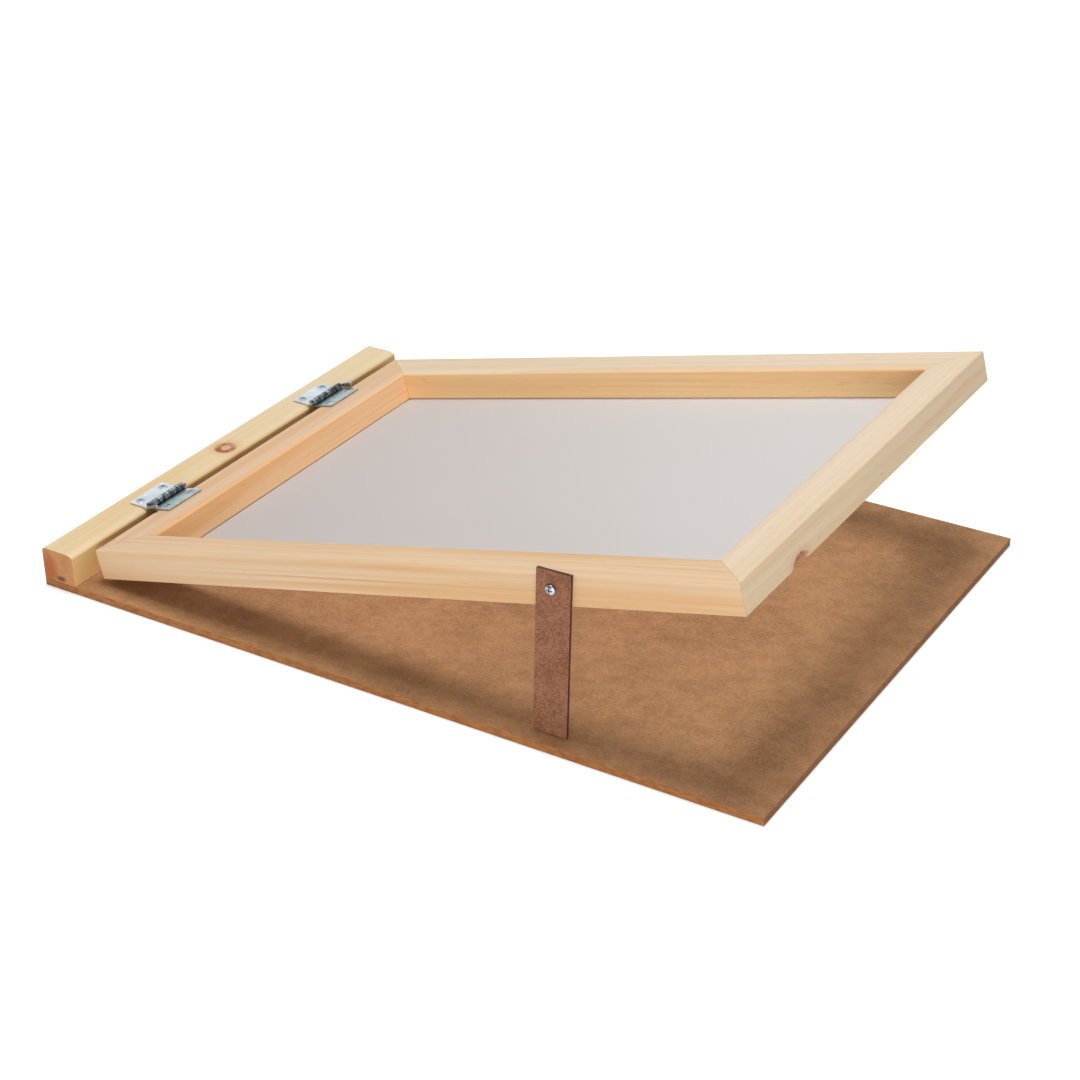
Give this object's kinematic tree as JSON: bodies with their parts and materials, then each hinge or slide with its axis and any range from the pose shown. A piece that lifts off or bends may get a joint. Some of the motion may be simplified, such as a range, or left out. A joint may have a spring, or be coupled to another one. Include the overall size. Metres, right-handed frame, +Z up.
{
  "type": "tabletop screen printing press",
  "caption": "Wooden printing screen on loose-pin hinges over a hardboard base, held raised by a swinging prop leg.",
  "frame": {"origin": "centre of the base board's underside", "axes": "+X from the hinge rail to the front, +Y from the prop leg's side to the far side, +Z up"},
  "size_m": [0.391, 0.273, 0.1056],
  "materials": {
    "hardboard": "matt pressed fibre, mid brown",
    "leg_hardboard": "matt pressed fibre, red brown",
    "pine": "planed, unvarnished",
    "zinc_plate": "bright zinc plate",
    "zinc_screw": "bright zinc plate",
    "staple_wire": "drawn wire",
    "screen_fabric": "fine open weave, pale grey",
    "cord_fibre": "white twisted cotton cord"
  },
  "bodies": {
    "press_base": {"base_board": "hardboard", "hinge_rail": "pine", "rail_screws": "zinc_screw", "near_rail_leaf": "zinc_plate", "far_rail_leaf": "zinc_plate", "near_rail_leaf_screws": "zinc_screw", "far_rail_leaf_screws": "zinc_screw"},
    "screen_frame": {"frame_near_stick": "pine", "frame_front_stick": "pine", "frame_far_stick": "pine", "frame_hinge_stick": "pine", "mitre_staples": "staple_wire", "screen_fabric": "screen_fabric", "groove_cord": "cord_fibre", "near_frame_leaf": "zinc_plate", "far_frame_leaf": "zinc_plate", "near_frame_leaf_screws": "zinc_screw", "far_frame_leaf_screws": "zinc_screw", "prop_leg_screw": "zinc_screw"},
    "prop_leg": {"prop_leg": "leg_hardboard"},
    "near_hinge_pin": {"near_hinge_pin": "zinc_plate"},
    "far_hinge_pin": {"far_hinge_pin": "zinc_plate"}
  },
  "joints": [
    {"name": "frame_hinge", "type": "hinge", "parent": "press_base", "child": "screen_frame", "pos_m": [-0.17445, 0, 0.02285], "axis": [0, -1, 0], "range_deg": [0, 165]},
    {"name": "leg_swing", "type": "hinge", "parent": "screen_frame", "child": "prop_leg", "pos_m": [0.08958, -0.1281, 0.07781], "axis": [0, -1, 0], "range_deg": [-74, 105]},
    {"name": "near_pin_pull", "type": "slide", "parent": "screen_frame", "child": "near_hinge_pin", "axis": [0, -1, 0], "range_m": [0, 0.029]},
    {"name": "far_pin_pull", "type": "slide", "parent": "screen_frame", "child": "far_hinge_pin", "axis": [0, 1, 0], "range_m": [0, 0.029]}
  ]
}
